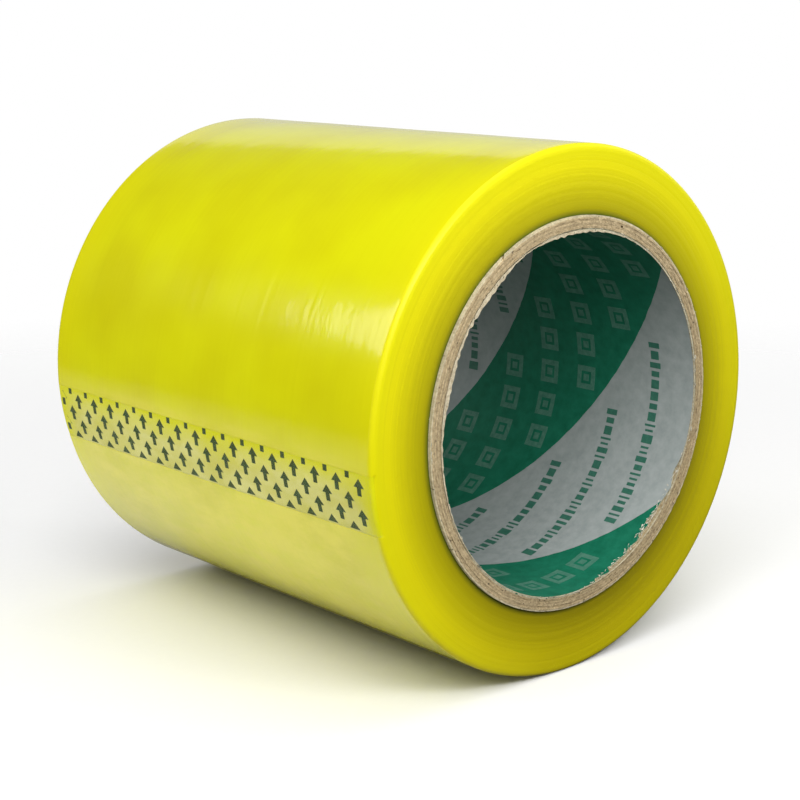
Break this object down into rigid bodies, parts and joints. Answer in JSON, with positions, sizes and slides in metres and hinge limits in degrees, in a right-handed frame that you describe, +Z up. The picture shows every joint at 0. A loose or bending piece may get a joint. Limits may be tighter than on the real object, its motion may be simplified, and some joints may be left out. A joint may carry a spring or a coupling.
{
  "type": "packing tape roll",
  "caption": "Roll of wide yellow carton-sealing tape on a spiral-wound paper core, with a liftable free end over an arrow-printed strip.",
  "frame": {"origin": "on the roll's axis at mid-width", "axes": "+Y along the roll's axis towards the far end, +Z up with the roll lying on its curved side"},
  "size_m": [0.1103, 0.1116, 0.1101],
  "materials": {
    "liner_paper": "matt printed paper",
    "core_board": "raw kraft board",
    "pale_paper": "raw pale paper",
    "tape_film": "glossy translucent film",
    "clear_film": "glossy clear yellow film",
    "strip_print": "clear film printed with dark green arrows"
  },
  "bodies": {
    "roll": {"core_liner": "liner_paper", "core_ply_1": "core_board", "core_ply_2": "core_board", "core_ply_3": "core_board", "core_ply_4": "core_board", "core_ply_5": "core_board", "core_ply_6": "core_board", "core_outer_ply": "pale_paper", "tape_winding": "tape_film"},
    "pull_tab": {"tape_free_end": "clear_film", "arrow_strip": "strip_print"}
  },
  "joints": [
    {"name": "tab_lift", "type": "hinge", "parent": "roll", "child": "pull_tab", "pos_m": [-0.05521, 0, -0.00309], "axis": [0, 1, 0], "range_deg": [0, 120], "stiffness_Nm_per_rad": 0.0005}
  ]
}
